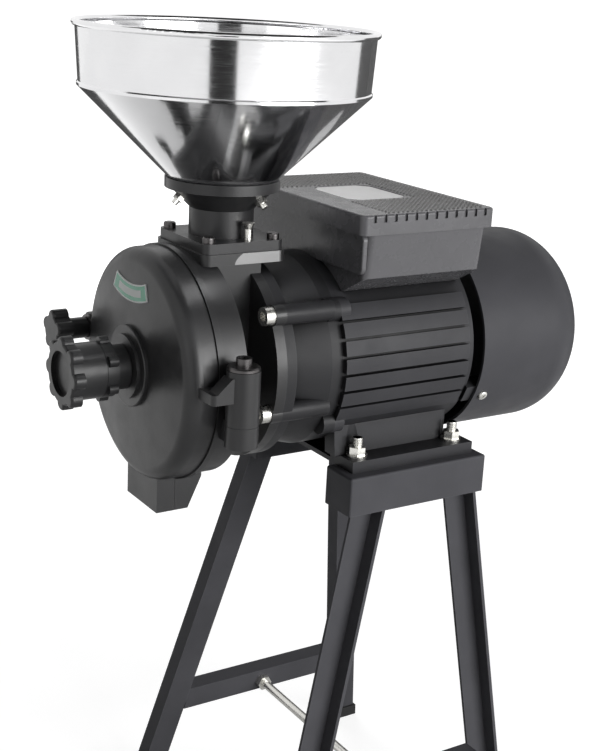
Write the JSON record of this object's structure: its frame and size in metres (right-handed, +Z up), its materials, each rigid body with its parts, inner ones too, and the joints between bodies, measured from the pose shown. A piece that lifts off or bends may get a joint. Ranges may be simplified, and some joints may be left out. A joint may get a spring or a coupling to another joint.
{
  "type": "wet and dry disc grinder",
  "caption": "Floor-standing disc grinder: steel hopper over a feed neck, disc mill head with adjusting knob and hinged cover on a fan-cooled motor, on an angle-iron stand.",
  "frame": {"origin": "on the floor, under the middle of the bounding box", "axes": "+X along the motor shaft from the grinding head to the fan cowl, +Z up, -Y towards the side with the cover's hinge"},
  "size_m": [0.48, 0.259, 0.725],
  "materials": {
    "black_casting": "satin black enamel on a casting",
    "motor_paint": "satin black enamel",
    "cowl_paint": "smooth satin black",
    "stand_paint": "satin black powder coat",
    "box_plastic": "moulded black plastic",
    "knob_plastic": "gloss black",
    "hopper_steel": "polished stainless steel",
    "zinc": "bright zinc plate",
    "dark_steel": "blackened steel",
    "bright_steel": "ground steel",
    "grinding_iron": "machined cast iron",
    "core_steel": "laminated steel",
    "winding_copper": "varnished copper wire",
    "rubber": "matt black rubber",
    "inner_plastic": "moulded black plastic",
    "capacitor_plastic": "white plastic case",
    "plate_metal": "bare satin aluminium",
    "badge_paint": "green enamel with a pale border"
  },
  "bodies": {
    "base": {"grinding_chamber": "black_casting", "feed_neck": "black_casting", "motor_frame": "motor_paint", "front_end_bell": "motor_paint", "rear_end_bell": "motor_paint", "motor_foot": "motor_paint", "fan_cowl": "cowl_paint", "rail_near": "stand_paint", "rail_far": "stand_paint", "leg_front_near": "stand_paint", "leg_front_far": "stand_paint", "leg_rear_near": "stand_paint", "leg_rear_far": "stand_paint", "brace_near": "stand_paint", "brace_far": "stand_paint", "terminal_box": "box_plastic", "terminal_lid": "box_plastic", "hopper": "hopper_steel", "foot_bolts": "zinc", "foot_nuts": "zinc", "foot_washers": "zinc", "tie_rod": "zinc", "tie_nuts": "zinc", "motor_bolts": "zinc", "cowl_screws": "zinc", "hopper_screws": "zinc", "neck_set_screw": "zinc", "neck_bolts": "dark_steel", "hinge_pin": "dark_steel", "front_bearing": "bright_steel", "rear_bearing": "bright_steel", "stator_core": "core_steel", "stator_windings": "winding_copper", "leg_shoes": "rubber", "shaft_seal": "rubber", "cable_gland": "inner_plastic", "terminal_block": "inner_plastic", "capacitors": "capacitor_plastic", "lid_plate": "plate_metal"},
    "shaft": {"motor_shaft": "bright_steel", "rotor": "core_steel", "cooling_fan": "inner_plastic", "feed_auger": "grinding_iron", "disc_driver": "grinding_iron", "rotating_disc": "grinding_iron", "rotating_disc_screws": "zinc", "disc_nut": "zinc"},
    "cover": {"front_cover": "black_casting", "cover_gasket": "rubber", "cover_badge": "badge_paint", "guide_pins": "bright_steel"},
    "disc_slide": {"fixed_disc": "grinding_iron", "disc_carrier": "grinding_iron", "fixed_disc_screws": "zinc"},
    "adjuster": {"adjusting_screw": "dark_steel", "adjusting_knob": "knob_plastic"},
    "lock": {"lock_ring": "knob_plastic"},
    "clamp_slide": {"clamp_washer": "zinc"},
    "clamp": {"clamp_screw": "zinc", "clamp_knob": "knob_plastic"}
  },
  "joints": [
    {"name": "shaft_spin", "type": "hinge", "parent": "base", "child": "shaft", "pos_m": [0, 0, 0.46], "axis": [1, 0, 0], "continuous": true},
    {"name": "cover_swing", "type": "hinge", "parent": "base", "child": "cover", "pos_m": [-0.14, -0.109, 0.46], "axis": [0, 0, 1], "range_deg": [0, 110]},
    {"name": "disc_gap", "type": "slide", "parent": "cover", "child": "disc_slide", "axis": [-1, 0, 0], "range_m": [0, 0.003]},
    {"name": "adjust_turn", "type": "hinge", "parent": "disc_slide", "child": "adjuster", "pos_m": [-0.19, 0, 0.46], "axis": [-1, 0, 0], "range_deg": [0, 360.01]},
    {"name": "lock_ring_turn", "type": "hinge", "parent": "adjuster", "child": "lock", "pos_m": [-0.194, 0, 0.46], "axis": [-1, 0, 0], "range_deg": [0, 90]},
    {"name": "clamp_travel", "type": "slide", "parent": "cover", "child": "clamp_slide", "axis": [-1, 0, 0], "range_m": [0, 0.0085]},
    {"name": "clamp_turn", "type": "hinge", "parent": "clamp_slide", "child": "clamp", "pos_m": [-0.18, 0.106, 0.464], "axis": [-1, 0, 0], "range_deg": [0, 1530.01]}
  ],
  "couplings": [
    {"joint": "adjust_turn", "follows": "disc_gap", "rad_per_m": 2094.4},
    {"joint": "clamp_turn", "follows": "clamp_travel", "rad_per_m": 3141.6}
  ]
}
